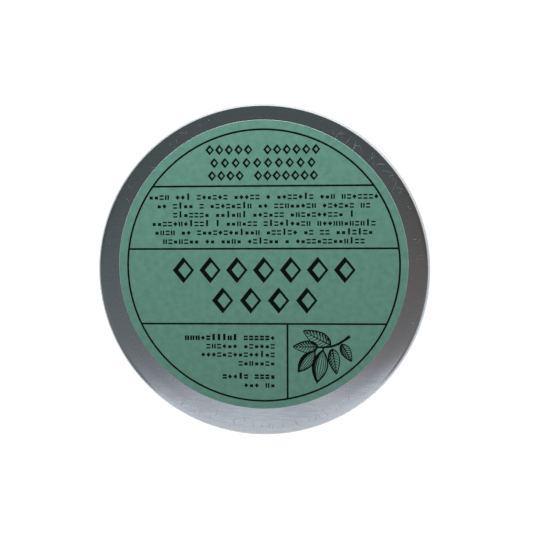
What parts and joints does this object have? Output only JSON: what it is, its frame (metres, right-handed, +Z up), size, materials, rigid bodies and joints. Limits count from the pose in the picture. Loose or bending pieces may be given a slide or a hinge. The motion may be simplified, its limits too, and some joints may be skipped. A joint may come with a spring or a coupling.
{
  "type": "shaving soap puck",
  "caption": "Round shaving soap puck packed loose in a low satin aluminium screw tin with a green paper label on its flat lid.",
  "frame": {"origin": "centre of the circle that the closed tin stands on", "axes": "+Z up through the middle of the lid; +X to the right and +Y away from a reader of the label"},
  "size_m": [0.083, 0.083, 0.0375],
  "materials": {
    "tin_base": "satin",
    "soap_puck": "smooth waxy soap",
    "base_label": "matte",
    "lid_liner": "fine closed-cell foam",
    "lid_shell": "satin",
    "top_label": "matte"
  },
  "bodies": {
    "tin": {"tin_base": "tin_base", "base_label": "base_label"},
    "puck": {"soap_puck": "soap_puck"},
    "liner": {"lid_liner": "lid_liner"},
    "lid": {"lid_shell": "lid_shell", "top_label": "top_label"}
  },
  "joints": [
    {"name": "puck_lift", "type": "slide", "parent": "tin", "child": "puck", "axis": [0, 0, 1], "range_m": [0, 0.0125]},
    {"name": "lid_rise", "type": "slide", "parent": "tin", "child": "liner", "axis": [0, 0, 1], "range_m": [0, 0.0135]},
    {"name": "lid_turn", "type": "hinge", "parent": "liner", "child": "lid", "pos_m": [0, 0, 0.0305], "axis": [0, 0, 1], "range_deg": [0, 1620]}
  ],
  "couplings": [
    {"joint": "lid_rise", "follows": "lid_turn", "m_per_rad": 0.00047746}
  ]
}
